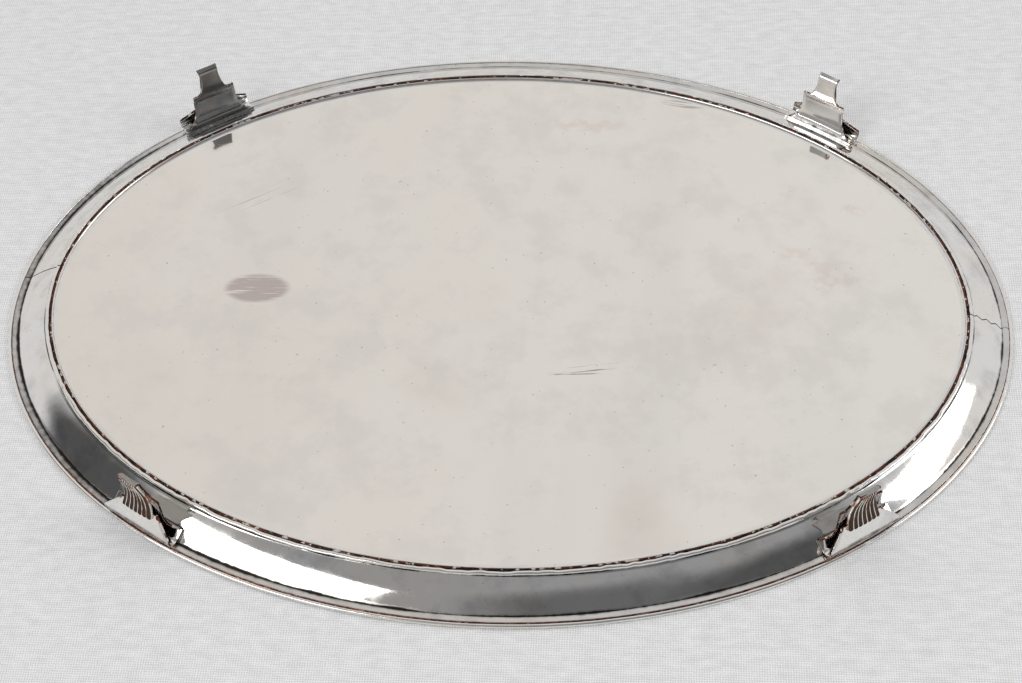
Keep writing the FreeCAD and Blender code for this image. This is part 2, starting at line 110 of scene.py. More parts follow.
# ---------------------------------------------------------------- node helpers
class Shader:
    """Builds one material's nodes. Every method returns an output socket."""

    def __init__(self, name):
        self.material = bpy.data.materials.new(name)
        self.material.use_nodes = True
        self.start(self.material.node_tree)

    def start(self, tree):
        self.tree = tree
        tree.nodes.clear()

    def node(self, kind, inputs=None, **settings):
        """Adds a node, sets its properties, and sets or links its inputs."""
        made = self.tree.nodes.new(kind)
        for key, value in settings.items():
            setattr(made, key, value)
        for key, value in (inputs or {}).items():
            if isinstance(value, bpy.types.NodeSocket):
                self.tree.links.new(value, made.inputs[key])
            else:
                made.inputs[key].default_value = value
        return made

    def maths(self, operation, first, second=0.0, clamp=False):
        return self.node("ShaderNodeMath", {0: first, 1: second}, operation=operation,
                         use_clamp=clamp).outputs[0]

    def mix(self, factor, first, second):
        """Mixes two colours."""
        made = self.node("ShaderNodeMix", {0: factor, 6: first, 7: second}, data_type="RGBA")
        return made.outputs[2]

    def blend(self, factor, first, second):
        """Mixes two numbers."""
        return self.node("ShaderNodeMix", {0: factor, 2: first, 3: second}, data_type="FLOAT").outputs[0]

    def place(self):
        """The point's place in the object's own frame, in metres."""
        return self.node("ShaderNodeTexCoord").outputs["Object"]

    def stretched(self, scale, turn=0.0, shift=(0, 0, 0)):
        """The place, turned about Z and stretched per axis."""
        turned = self.node("ShaderNodeMapping", {
            "Vector": self.place(), "Rotation": (0, 0, turn), "Location": shift, "Scale": scale,
        })
        return turned.outputs[0]

    def attribute(self, name):
        return self.node("ShaderNodeAttribute", attribute_name=name).outputs["Fac"]

    def noise(self, scale, detail=3.0, where=None, rough=0.5):
        made = self.node("ShaderNodeTexNoise", {
            "Vector": self.place() if where is None else where, "Scale": scale, "Detail": detail,
            "Roughness": rough,
        })
        return made.outputs["Fac"]

    def step(self, value, low, high):
        """0 below low, 1 above high, smooth between. Low may be the larger one."""
        made = self.node("ShaderNodeMapRange", {
            "Value": value, "From Min": low, "From Max": high,
        }, interpolation_type="SMOOTHSTEP")
        return made.outputs[0]

    def metal(self, colour, roughness, height=None, bump_mm=0.0):
        """The finished metal surface."""
        surface = {"Base Color": colour, "Metallic": 1.0, "Roughness": roughness}
        if height is not None:
            surface["Normal"] = self.node("ShaderNodeBump", {
                "Height": height, "Distance": bump_mm * MM, "Strength": 1.0,
            }).outputs[0]
        shader = self.node("ShaderNodeBsdfPrincipled", surface)
        self.node("ShaderNodeOutputMaterial", {"Surface": shader.outputs[0]})
        return self.material


# ---------------------------------------------------------------- materials
SILVER_WARM = (0.900, 0.858, 0.800, 1.0)
SILVER_COOL = (0.895, 0.885, 0.865, 1.0)
COPPER = (0.360, 0.130, 0.075, 1.0)
COPPER_DARK = (0.130, 0.050, 0.035, 1.0)
TARNISH = (0.085, 0.060, 0.045, 1.0)
TARNISH_AND_SHADE_BLACK = (0.030, 0.024, 0.020, 1.0)


def toned(colour, tone):
    """A colour made darker: tarnish, and painted shade on the flange and the darker feet."""
    return tuple(channel * tone for channel in colour[:3]) + (1.0,)


def worn_plate(name, roughness=0.06, wear_at=0.62, dent_mm=0.0, tint=0.5, tone=1.0):
    """Silver plate. It shows copper where the attribute "wear" is high, and black where its darkening
    attribute is high: mostly painted shade in the creases, on the flange and at the feet's bends, with
    some tarnish.
    Tint is the strength of its stains, and tone darkens all of it."""
    s = Shader(name)
    patches = s.noise(18.0, 2.0)
    clean = s.mix(s.step(patches, 0.35, 0.65), toned(SILVER_WARM, tone), toned(SILVER_COOL, tone))
    film = s.step(s.noise(55.0, 5.0), 0.52, 0.80)
    colour = s.mix(s.maths("MULTIPLY", film, 0.32 * tint), clean, toned((0.62, 0.53, 0.44), tone))
    smoke = s.step(s.noise(85.0, 6.0, rough=0.62), 0.46, 0.68)
    colour = s.mix(s.maths("MULTIPLY", smoke, 0.40 * tint), colour, toned((0.50, 0.50, 0.52), tone))
    speck = s.step(s.noise(900.0, 2.0), 0.70, 0.76)
    colour = s.mix(s.maths("MULTIPLY", speck, 0.35), colour, TARNISH)
    # painted shade in the creases and bends, with some tarnish: black where the darkening attribute is
    # high
    grime_and_shade = s.maths("MULTIPLY", s.attribute("grime_and_shade"), s.blend(s.noise(420.0, 4.0), 0.55, 1.35))
    dirt_and_shade = s.step(grime_and_shade, 0.25, 0.75)
    colour = s.mix(dirt_and_shade, colour, TARNISH_AND_SHADE_BLACK)
    # copper where the silver is worn through
    ragged = s.maths("ADD", s.attribute("wear"), s.maths("MULTIPLY", s.maths(
        "SUBTRACT", s.noise(360.0, 6.0, rough=0.65), 0.5), 0.9))
    bare = s.step(ragged, wear_at, wear_at + 0.10)
    metal_below = s.mix(s.step(s.noise(500.0, 3.0), 0.40, 0.62), COPPER_DARK, COPPER)
    colour = s.mix(bare, colour, metal_below)
    shine = s.blend(s.step(s.noise(140.0, 4.0), 0.45, 0.75), roughness, roughness + 0.07)
    shine = s.blend(bare, shine, 0.34)
    shine = s.blend(dirt_and_shade, shine, 0.45)
    fine = s.noise(700.0, 3.0)
    dents = s.maths("MULTIPLY", s.noise(110.0, 2.0), dent_mm)
    height = s.maths("ADD", s.maths("MULTIPLY", fine, 0.004), dents)
    height = s.maths("SUBTRACT", height, s.maths("MULTIPLY", bare, 0.03))
    return s.metal(colour, shine, height, 1.0)


class Mark:
    """An oval patch on the panel with a soft edge: its middle, half sizes and turn in degrees."""

    def __init__(self, middle, half, turn=0.0):
        self.middle = middle
        self.half = half
        self.turn = math.radians(turn)

    def local(self, s):
        """The place inside the patch: its edge at distance 1."""
        c, q = math.cos(self.turn), math.sin(self.turn)
        x, y = (m * MM for m in self.middle)
        shift = (-(c * x + q * y), -(-q * x + c * y), 0.0)
        turned = s.node("ShaderNodeMapping", {
            "Vector": s.place(), "Rotation": (0, 0, -self.turn), "Location": shift,
        }).outputs[0]
        return s.node("ShaderNodeMapping", {
            "Vector": turned, "Scale": (1 / (self.half[0] * MM), 1 / (self.half[1] * MM), 0.0),
        }).outputs[0]

    def mask(self, s, local, soft=0.5):
        """1 inside the patch and 0 outside, fading over the outer share given by soft."""
        length = s.node("ShaderNodeVectorMath", {0: local}, operation="LENGTH").outputs["Value"]
        return s.step(length, 1.0, 1.0 - soft)


# The panel's marks: an old purple stain with streaks, cuts, faint scratches and pinkish rubbed spots.
STAIN = Mark((-99.6, 3.3), (14.5, 8.2), 1.5)
CUTS = Mark((35.5, -33.0), (19.0, 2.6), 9.0)
CUTS_LOW = Mark((28.0, -35.2), (13.0, 1.4), 3.0)
FAINT = Mark((-104.0, 52.0), (23.0, 6.5), 32.0)
SMALL = Mark((70.0, 110.0), (11.0, 2.6), -8.0)
PINK = (Mark((140.0, 51.5), (8.0, 4.0), -18.0), Mark((129.0, 15.5), (20.0, 13.0), -30.0),
        Mark((115.0, 27.0), (9.0, 5.0), 10.0), Mark((30.0, 96.0), (26.0, 7.0), -4.0))
PURPLE = (0.33, 0.215, 0.215, 1.0)
PINKISH = (0.80, 0.67, 0.60, 1.0)


def scored(s, mark, lines, share, seed):
    """Fine lines along a mark, as a mask: lines is how many stand across it."""
    local = mark.local(s)
    along = s.node("ShaderNodeMapping", {
        "Vector": local, "Scale": (0.45, float(lines), 1.0), "Location": (seed, seed, 0.0),
    }).outputs[0]
    streak = s.noise(1.0, 3.0, along, rough=0.7)
    return s.maths("MULTIPLY", s.step(streak, 1 - share, 1 - share + 0.05), mark.mask(s, local, 0.35))


def panel_silver():
    """The panel's mirror-like back, with its clouded colour, pits, scratches and old stains."""
    s = Shader("panel_silver")
    cloud = s.noise(9.0, 3.0)
    along = s.node("ShaderNodeSeparateXYZ", {0: s.place()}).outputs[0]
    clean = s.mix(s.step(along, -0.17, 0.17), (0.925, 0.862, 0.788, 1.0), (0.985, 0.945, 0.880, 1.0))
    colour = s.mix(s.maths("MULTIPLY", s.step(cloud, 0.34, 0.66), 0.5), clean, (0.955, 0.925, 0.868, 1.0))
    brown = s.step(s.noise(14.0, 4.0, s.stretched((1, 1, 1), shift=(3.0, 1.0, 0))), 0.52, 0.78)
    colour = s.mix(s.maths("MULTIPLY", brown, 0.62), colour, (0.83, 0.745, 0.660, 1.0))
    blot = s.step(s.noise(52.0, 5.0, s.stretched((1, 1, 1), shift=(1.0, 7.0, 0)), rough=0.6), 0.44, 0.66)
    colour = s.mix(s.maths("MULTIPLY", blot, 0.46), colour, (0.82, 0.775, 0.735, 1.0))
    vertical = s.noise(26.0, 2.0, s.stretched((1.0, 0.16, 1.0)))
    streaks = s.maths("MULTIPLY", s.step(vertical, 0.50, 0.75), 0.16)
    colour = s.mix(streaks, colour, (0.74, 0.70, 0.67, 1.0))
    for mark in PINK:
        local = mark.local(s)
        spot = s.maths("MULTIPLY", mark.mask(s, local, 0.8), s.step(s.noise(160.0, 4.0), 0.40, 0.60))
        colour = s.mix(s.maths("MULTIPLY", spot, 0.38), colour, PINKISH)
    # the stain: an oval with a soft edge, broken by a few thin pale streaks along it
    local = STAIN.local(s)
    edge = s.maths("MULTIPLY", STAIN.mask(s, local, 0.28), s.step(s.noise(1.0, 4.0, s.node(
        "ShaderNodeMapping", {"Vector": local, "Scale": (0.6, 8.0, 1.0)}).outputs[0]), 0.37, 0.43))
    stain = s.maths("MULTIPLY", edge, 0.50)
    colour = s.mix(stain, colour, PURPLE)
    cuts = s.maths("MAXIMUM", scored(s, CUTS, 3.4, 0.44, 2.3), scored(s, CUTS_LOW, 2.2, 0.42, 7.1))
    faint = s.maths("MULTIPLY", scored(s, FAINT, 5.0, 0.40, 4.7), 0.40)
    small = s.maths("MULTIPLY", scored(s, SMALL, 3.0, 0.50, 1.2), 0.55)
    marks = s.maths("MAXIMUM", s.maths("MAXIMUM", faint, small), s.maths("MULTIPLY", cuts, 0.85))
    colour = s.mix(marks, colour, (0.30, 0.235, 0.22, 1.0))
    # pits and hair scratches
    pits = s.step(s.noise(620.0, 1.0), 0.775, 0.80)
    colour = s.mix(s.maths("MULTIPLY", pits, 0.35), colour, TARNISH)
    hairs = s.maths("MAXIMUM", hair_lines(s, 0.5, 230.0), hair_lines(s, 2.0, 200.0))
    hairs = s.maths("MAXIMUM", hairs, hair_lines(s, 1.1, 260.0))
    shine = s.blend(s.step(s.noise(30.0, 4.0), 0.40, 0.75), 0.045, 0.095)
    shine = s.maths("ADD", shine, s.maths("MULTIPLY", s.maths("MAXIMUM", marks, stain), 0.25))
    swell = s.maths("MULTIPLY", s.noise(16.0, 1.0), 0.05)
    height = s.maths("ADD", swell, s.maths("MULTIPLY", hairs, -0.0015))
    height = s.maths("SUBTRACT", height, s.maths("MULTIPLY", marks, 0.02))
    return s.metal(colour, shine, height, 1.0)


def hair_lines(s, turn, density):
    """Very fine long scratches that run one way."""
    lines = s.noise(1.0, 1.0, s.stretched((density * 0.10, density * 6.0, 1.0), turn))
    return s.step(lines, 0.72, 0.76)


def serving_silver():
    """The serving face: brighter, with the fine swirl of knife and cloth marks."""
    s = Shader("serving_silver")
    cloud = s.noise(22.0, 4.0)
    colour = s.mix(s.step(cloud, 0.4, 0.7), SILVER_COOL, SILVER_WARM)
    hairs = s.maths("MAXIMUM", hair_lines(s, 0.3, 300.0), hair_lines(s, 1.7, 280.0))
    shine = s.blend(s.step(s.noise(60.0, 4.0), 0.4, 0.7), 0.07, 0.16)
    return s.metal(colour, shine, s.maths("MULTIPLY", hairs, -0.002), 1.0)


def bare_copper():
    """The raw cut edge of the fused sheet: copper with a dark skin and bright flecks of silver."""
    s = Shader("bare_copper")
    cloud = s.step(s.noise(240.0, 5.0), 0.38, 0.62)
    colour = s.mix(cloud, (0.030, 0.018, 0.015, 1.0), (0.150, 0.055, 0.035, 1.0))
    broken = s.maths("MULTIPLY", s.maths("SUBTRACT", s.noise(45.0, 2.0), 0.5), 0.45)
    bright = s.step(s.maths("ADD", s.noise(420.0, 5.0), broken), 0.555, 0.62)
    colour = s.mix(s.maths("MULTIPLY", bright, 0.85), colour, (0.78, 0.70, 0.62, 1.0))
    height = s.maths("MULTIPLY", s.noise(800.0, 4.0), 0.09)
    return s.metal(colour, 0.36, height, 1.0)


def solder_metal(name, light, dark):
    """Dull lead-tin solder or braze, pitted and stained."""
    s = Shader(name)
    colour = s.mix(s.step(s.noise(380.0, 5.0), 0.40, 0.64), dark, light)
    shine = s.blend(s.noise(600.0, 3.0), 0.30, 0.50)
    return s.metal(colour, shine, s.maths("MULTIPLY", s.noise(900.0, 4.0), 0.06), 1.0)


def shell_silver():
    """The scallop shells: black-brown tarnish in the flutes, rubbed silver and copper on the ridges."""
    s = Shader("shell_silver")
    relief = s.maths("ADD", s.attribute("relief"), s.maths("MULTIPLY", s.maths(
        "SUBTRACT", s.noise(700.0, 4.0), 0.5), 0.35))
    worn = s.step(s.noise(260.0, 4.0), 0.48, 0.60)
    bright = s.mix(worn, (0.86, 0.81, 0.74, 1.0), (0.55, 0.30, 0.20, 1.0))
    dark = s.mix(s.noise(330.0, 3.0), (0.035, 0.026, 0.022, 1.0), (0.130, 0.086, 0.066, 1.0))
    shown = s.step(relief, 0.46, 0.72)
    colour = s.mix(shown, dark, bright)
    shine = s.blend(shown, 0.42, 0.16)
    return s.metal(colour, shine, s.maths("MULTIPLY", s.noise(900.0, 3.0), 0.03), 1.0)


def linen():
    """The plain pale floor, with the faint grain of a woven cloth."""
    s = Shader("pale_floor")
    cloud = s.noise(5.0, 2.0)
    weft = s.node("ShaderNodeTexWave", {
        "Vector": s.place(), "Scale": 345.0, "Distortion": 2.6, "Detail": 2.0, "Detail Scale": 1.6,
    }, bands_direction="Y").outputs["Fac"]
    warp = s.node("ShaderNodeTexWave", {
        "Vector": s.place(), "Scale": 345.0, "Distortion": 2.6, "Detail": 2.0, "Detail Scale": 1.6,
    }, bands_direction="X").outputs["Fac"]
    slub = s.noise(240.0, 3.0, s.stretched((0.6, 1.5, 1.0)))
    weave = s.maths("MULTIPLY", s.maths("ADD", weft, warp), 0.5)
    tone = s.maths("ADD", weave, s.maths("MULTIPLY", s.maths("SUBTRACT", slub, 0.5), 0.9))
    cloth = s.mix(s.step(tone, 0.05, 0.95), (0.730, 0.730, 0.728, 1.0), (0.990, 0.990, 0.986, 1.0))
    colour = s.mix(s.step(cloud, 0.3, 0.7), cloth, s.mix(0.05, cloth, (0.70, 0.70, 0.71, 1.0)))
    bump = s.node("ShaderNodeBump", {"Height": tone, "Distance": 0.00010, "Strength": 0.8}).outputs[0]
    shader = s.node("ShaderNodeBsdfPrincipled", {
        "Base Color": colour, "Roughness": 0.9, "Normal": bump, "Specular IOR Level": 0.15,
    })
    s.node("ShaderNodeOutputMaterial", {"Surface": shader.outputs[0]})
    return s.material


MATERIALS = {
    "panel": panel_silver(),
    "serving": serving_silver(),
    "wall": worn_plate("wall_silver", roughness=0.065, dent_mm=0.03, tint=1.1),
    # the flange's tone 0.80 is painted shade: it darkens the whole flange
    "flange": worn_plate("flange_silver", roughness=0.13, tint=1.0, dent_mm=0.02, tone=0.80),
    "lip": worn_plate("lip_silver", roughness=0.12, wear_at=0.72, dent_mm=0.05),
    "upstand": worn_plate("upstand_silver", roughness=0.08, dent_mm=0.01),
    "edge": bare_copper(),
    "border": worn_plate("border_silver", roughness=0.15, dent_mm=0.03),
    "foot": worn_plate("foot_silver", roughness=0.085, dent_mm=0.02, tint=0.8),
    # foot_dark is partly tarnish and partly painted shade: tone 0.42 makes three feet dark, so the wall
    # beside them reflects dark
    "foot_dark": worn_plate("foot_tarnish_and_shade", roughness=0.12, dent_mm=0.03, tint=1.0, tone=0.42),
    "shell": shell_silver(),
    "solder": solder_metal("soft_solder", (0.44, 0.42, 0.40, 1.0), (0.15, 0.13, 0.12, 1.0)),
    "joint": solder_metal("joint_line", (0.11, 0.055, 0.040, 1.0), (0.028, 0.020, 0.017, 1.0)),
    "floor": linen(),
}


# ---------------------------------------------------------------- mesh helpers
def grid_mesh(name, points, slots, closed_rows=False, fields=None, sharp=35.0):
    """A closed mesh from rows of points, in millimetres. Each row is a closed loop round the section.
    Slots names the material of the faces that follow each column, and fields are numbers per point."""
    rows, columns = points.shape[:2]
    index = np.arange(rows * columns).reshape(rows, columns)
    ahead = np.roll(index, -1, axis=1)
    below, below_ahead = np.roll(index, -1, axis=0), np.roll(ahead, -1, axis=0)
    quads = np.stack([index, ahead, below_ahead, below], axis=-1)
    if not closed_rows:
        quads = quads[:-1]
    faces = quads.reshape(-1, 4).tolist()
    names = list(dict.fromkeys(slots))
    face_slots = [names.index(slot) for slot in slots] * (len(faces) // columns)
    if not closed_rows:
        faces += [index[0][::-1].tolist(), index[-1].tolist()]
        face_slots += [0, 0]
    mesh = bpy.data.meshes.new(name)
    mesh.from_pydata((points.reshape(-1, 3) * MM).tolist(), [], faces)
    mesh.polygons.foreach_set("material_index", face_slots)
    for slot in names:
        mesh.materials.append(MATERIALS[slot])
    for field, values in (fields or {}).items():
        attribute = mesh.attributes.new(field, "FLOAT", "POINT")
        spread = np.broadcast_to(values, (rows, columns)).astype(np.float32)
        attribute.data.foreach_set("value", np.ascontiguousarray(spread).ravel())
    return finished(name, mesh, sharp)


def finished(name, mesh, sharp):
    """Cleans the mesh up, points its faces outwards, shades it smooth and links it in."""
    work = bmesh.new()
    work.from_mesh(mesh)
    bmesh.ops.remove_doubles(work, verts=work.verts, dist=1e-6)
    bmesh.ops.recalc_face_normals(work, faces=work.faces)
    work.to_mesh(mesh)
    work.free()
    mesh.polygons.foreach_set("use_smooth", [True] * len(mesh.polygons))
    mesh.set_sharp_from_angle(angle=math.radians(sharp))
    made = bpy.data.objects.new(name, mesh)
    bpy.context.scene.collection.objects.link(made)
    return made


def placed(piece, slot, *nodes):
    """The piece rides on the body and stands for its CAD nodes, which it hides. Its argument slot is not
    used.
    """
    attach(piece, "root")
    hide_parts(*nodes)
    return piece


def ragged(count, length, knots, seed):
    """A closed row of random numbers from -1 to 1, drawn at some knots and run smoothly between them."""
    values = np.random.default_rng(seed).uniform(-1, 1, knots)
    where = np.arange(count) * (length * knots / count) % knots
    before = where.astype(int)
    share = where - before
    share = share * share * (3 - 2 * share)
    return values[before % knots] * (1 - share) + values[(before + 1) % knots] * share


def oval_rows(angles, insets, heights):
    """Points at insets from the oval's edge: one row per angle in radians, one column per inset."""
    angles = np.asarray(angles)
    if angles.ndim == 1:
        angles = angles[:, None]
    c, q = np.cos(angles), np.sin(angles)
    nx, ny = c / OVAL_LENGTH, q / OVAL_WIDTH
    size = np.hypot(nx, ny)
    insets = np.broadcast_to(insets, (len(angles), np.shape(insets)[-1]))
    heights = np.broadcast_to(heights, insets.shape)
    across = OVAL_LENGTH * c - insets * nx / size
    back = OVAL_WIDTH * q - insets * ny / size
    return np.stack([across, back, heights], -1)


# ---------------------------------------------------------------- the plate
FILLET_RISE, FILLET_RUN = 0.95, 2.2              # the hollow curve from the panel up to its raised edge
PANEL_RINGS = 20
ROUND = 1440                                     # steps round the oval


def base_plate():
    """The oval plate: serving face, turned-up edge with a raw copper top, and mirror-like back."""
    angles = np.arange(ROUND) * 2 * math.pi / ROUND
    wobble = ragged(ROUND, 1, 240, 11) * 0.10 + ragged(ROUND, 1, 620, 12) * 0.07
    inner = PLATE_OUTER + GAUGE
    deepest = 64.0                               # inset where rings stop following the edge
    insets, heights, slots = [], [], []

    def add(inset, height, slot):
        insets.append(inset)
        heights.append(height)
        slots.append(slot)

    for share in np.linspace(0, 1, 10):
        add(deepest + (PLATE_OUTER + 0.1 - deepest) * share, PLATE_BOTTOM, "serving")
    add(PLATE_OUTER, PLATE_BOTTOM + 0.1, "serving")
    add(PLATE_OUTER, PLATE_TOP - 0.12, "edge")
    add(PLATE_OUTER + 0.15, PLATE_TOP + 0.02, "edge")
    add(PLATE_OUTER + 0.45, PLATE_TOP + 0.05, "edge")
    add(inner - 0.15, PLATE_TOP, "edge")
    add(inner - 0.02, PLATE_TOP - 0.14, "upstand")
    for turn in np.radians(np.linspace(0, 90, 12)):
        add(inner + FILLET_RUN * (1 - math.cos(turn)), PANEL_TOP + FILLET_RISE * (1 - math.sin(turn)),
            "upstand" if turn < 1.4 else "panel")
    for share in np.linspace(0, 1, PANEL_RINGS)[1:]:
        add(inner + FILLET_RUN + (deepest - inner - FILLET_RUN) * share, PANEL_TOP, "panel")
    insets, heights = np.array(insets), np.array(heights)
    rows = oval_rows(angles, insets, heights)
    top = [k for k, slot in enumerate(slots) if slot == "edge"]
    for k in top:
        rows[:, k, 2] += wobble
        rows[:, k] += (oval_rows(angles, [1.0], [0.0]) - oval_rows(angles, [0.0], [0.0]))[:, 0] * (
            ragged(ROUND, 1, 400, 13)[:, None] * 0.06)
    # rings that shrink to the middle on both faces
    shrink = np.linspace(0, 1, 10)
    low = np.stack([rows[:, 0] * [share, share, 1] for share in shrink[:-1]], 1)
    high = np.stack([rows[:, -1] * [share, share, 1] for share in shrink[::-1][1:]], 1)
    points = np.concatenate([low, rows, high], 1)
    slots = ["serving"] * low.shape[1] + slots + ["panel"] * high.shape[1]
    points[..., 2] += panel_waves(points[..., 0], points[..., 1])
    wear = np.array([1.0 if slot == "edge" else 0.0 for slot in slots])
    grime_and_shade = np.zeros(points.shape[1])
    first_fillet = low.shape[1] + top[-1] + 2
    # painted shade: the hollow fillet between the raised edge and the panel is darkened
    grime_and_shade[first_fillet + 2:first_fillet + 7] = (0.15, 0.3, 0.42, 0.5, 0.2)
    fields = {"wear": wear, "grime_and_shade": grime_and_shade}
    plate = grid_mesh("salver_plate", points, slots, closed_rows=True, fields=fields)
    return placed(plate, "silver_plate", "base_plate")


def panel_waves(x, y):
    """The beaten panel's faint waves, which make its reflections swim a little."""
    waves = 0.020 * np.sin(x / 31.0 + 1.3 * np.sin(y / 47.0)) + 0.016 * np.sin(y / 23.0 + x / 61.0)
    return waves + 0.008 * np.sin(x / 13.0 - y / 17.0 + 0.7)


def seam_solder():
    """The ragged line of dark solder between the plate's edge and the rim's lip."""
    angles = np.arange(ROUND) * 2 * math.pi / ROUND
    lift = ragged(ROUND, 1, 500, 21) * 0.14 - 0.10
    insets = np.array([LIP_END, LIP_END, LIP_END + 0.2, PLATE_OUTER, PLATE_OUTER])
    heights = np.array([PLATE_BOTTOM, PLATE_TOP - 0.1, PLATE_TOP, PLATE_TOP - 0.1, PLATE_BOTTOM])
    points = oval_rows(angles, insets, heights)
    points[:, 1:4, 2] += lift[:, None]
    piece = grid_mesh("joint_solder", points, ["joint"] * 5, closed_rows=True)
    return placed(piece, "soft_solder", "seam_solder")


# ---------------------------------------------------------------- the rim strip
def seam_y(inset, side):
    """Where the end seam crosses the strip: toothed on the right, a plain slanting line on the left."""
    outer, inner = -5.0, LIP_END + 5.0
    if side < 0:
        return SEAM_SHIFT[side] + np.interp(inset, [outer, inner], [SEAM_SLANT, -SEAM_SLANT])
    phase = (inset - outer) / (inner - outer) * 2 * SEAM_TEETH
    return SEAM_SHIFT[side] + TOOTH * (1 - np.abs((phase + 1) % 2 - 1))


def seam_angles(insets, side, off):
    """The oval's angle at which each inset line meets the seam's edge."""
    turn = np.linspace(-0.25, 0.25, 501)
    y = oval_rows(turn, insets, 0.0)[..., 1]
    found = np.array([
        np.interp(seam_y(inset, side) + off, y[:, k], turn)
        for k, inset in enumerate(insets)
    ])
    return found if side > 0 else math.pi - found


def wall_bulge(share):
    """How far the sloping wall swells above a straight line, from flange (0) to lip (1)."""
    return 0.55 * np.sin(math.pi * share)


def rim_columns():
    """The strip's section, corner by corner: inset, height, material, looseness (1 on the ragged lip),
    wear and painted shade, which darkens its creases."""
    columns = []
    # the serving side, then the flange up to the crease
    for inset in np.arange(WALL_END + 0.2, FLANGE_END, -1.0):
        share = (WALL_END + 0.2 - inset) / (WALL_END - FLANGE_END - 0.1)
        height = PLATE_BOTTOM + (FLANGE_BOTTOM - PLATE_BOTTOM) * share
        columns.append((inset, max(height, FLANGE_BOTTOM), "serving", 0, 0, 0))
    # the last number of each corner is painted shade: darker at the flange's outer corner and where the
    # flange meets the wall
    columns += [
        (FLANGE_END + 0.3, FLANGE_BOTTOM, "serving", 0, 0, 0),
        (FLANGE_START, FLANGE_BOTTOM, "edge", 0, 1, 0),
        (FLANGE_START, FLANGE_TOP - 0.15, "flange", 0, 0.95, 0.3),
        (FLANGE_START + 0.15, FLANGE_TOP, "flange", 0, 0.62, 0.2),
        (FLANGE_START + 0.6, FLANGE_TOP + 0.01, "flange", 0, 0.22, 0),
        (FLANGE_START + 1.6, FLANGE_TOP, "flange", 0, 0.0, 0),
        (FLANGE_END - 0.35, FLANGE_TOP + 0.02, "flange", 0, 0.1, 0.25),
        (FLANGE_END - 0.05, FLANGE_TOP + 0.02, "wall", 0, 0.1, 0.72),
        (FLANGE_END + 0.25, FLANGE_TOP + 0.24, "wall", 0, 0.05, 0.50),
    ]
    # the sloping wall, then the ragged lip
    rise = WALL_TOP - FLANGE_TOP
    run = WALL_END - FLANGE_END
    # painted shade: the first wall corners above the flange are darkened
    for inset in np.arange(5.0, WALL_END - 0.2, 0.5):
        share = (inset - FLANGE_END) / run
        edge = max(0.0, 0.35 - abs(inset - 5.0) * 0.5)
        columns.append((inset, FLANGE_TOP + rise * share + wall_bulge(share), "wall", 0, 0.0, edge))
    # painted shade: the corners where the wall meets the lip are darkened
    columns += [
        (WALL_END - 0.30, WALL_TOP - 0.06, "wall", 0.1, 0.0, 0.55),
        (WALL_END - 0.10, WALL_TOP + 0.05, "lip", 0.2, 0.1, 0.80),
        (WALL_END + 0.05, LIP_TOP - 0.45, "lip", 0.5, 0.1, 0.25),
        (WALL_END + 0.22, LIP_TOP - 0.14, "lip", 0.8, 0.1, 0),
        (WALL_END + 0.55, LIP_TOP - 0.02, "lip", 1.0, 0.12, 0),
        (WALL_END + 0.95, LIP_TOP, "lip", 1.0, 0.2, 0),
        (LIP_END - 0.12, LIP_TOP - 0.05, "lip", 1.0, 0.38, 0),
        (LIP_END + 0.04, LIP_TOP - 0.20, "edge", 0.8, 0.9, 0),
        (LIP_END, PLATE_BOTTOM + 1.2, "edge", 0, 1, 0),
        (LIP_END, PLATE_BOTTOM, "serving", 0, 0, 0),
    ]
    return columns


def around(angles, knots, seed):
    """A ragged row of numbers read at any angles round the oval."""
    steps = angles / (2 * math.pi) * ROUND % ROUND
    return np.interp(steps, np.arange(ROUND), ragged(ROUND, 1, knots, seed))


def strip_piece(name, angles, slot, node, sink=0.0, material=None):
    """A length of the rim strip from a grid of angles, with a row per step round the oval and a column
    per corner of the section."""
    columns = rim_columns()
    insets = np.array([c[0] for c in columns])
    heights = np.array([c[1] for c in columns])
    slots = [material or c[2] for c in columns]
    loose = np.array([c[3] for c in columns])
    middle = angles[:, len(columns) // 2]
    chips, bumps = around(middle, 470, 31), around(middle, 170, 32)
    shove = (chips * 0.20 + bumps * 0.12 + 0.08)[:, None] * loose
    points = oval_rows(angles, insets + shove, heights)
    points[..., 2] += (chips * 0.16 + bumps * 0.12)[:, None] * loose
    sloping = np.array([c[2] == "wall" for c in columns]) * 1.0
    share = np.clip((insets - FLANGE_END) / (WALL_END - FLANGE_END), 0, 1)
    swell = around(middle, 60, 33) * 0.06 + around(middle, 21, 34) * 0.10
    points[..., 2] += swell[:, None] * np.sin(share * math.pi) * sloping
    lower = around(middle, 90, 35) * 0.03
    points[..., 2] += lower[:, None] * np.sin(np.clip(share * 3, 0, 1) * math.pi) * sloping
    points[..., 2] -= sink * np.isin([c[2] for c in columns], ["wall", "flange", "lip"])
    wear = np.array([c[4] for c in columns]) + rubbed(middle)[:, None] * rub_share(insets)
    # painted shade: the creases' darkening varies round the oval, and the flange is darkened most at the
    # left
    crease_shade_spread = 1 + 0.5 * around(middle, 120, 36)[:, None]
    grime_and_shade = np.array([c[5] for c in columns]) * crease_shade_spread + flange_shade(middle)[:, None] * flange_shade_share(insets)
    piece = grid_mesh(name, points, slots, fields={"wear": wear, "grime_and_shade": grime_and_shade}, sharp=50.0)
    return placed(piece, slot, node)


def rubbed(angles):
    """How much the silver is rubbed through round the edge: most at the near left and near right."""
    turn = np.degrees(angles) % 360
    spots = (
        (222, 9, 0.55), (246, 10, 0.35), (262, 8, 0.30), (285, 14, 0.30),
        (300, 12, 0.35), (192, 8, 0.25), (86, 16, 0.30), (20, 8, 0.20),
    )
    total = np.zeros_like(turn)
    for middle, spread, depth in spots:
        total += depth * np.exp(-((turn - middle) / spread) ** 2)
    return total


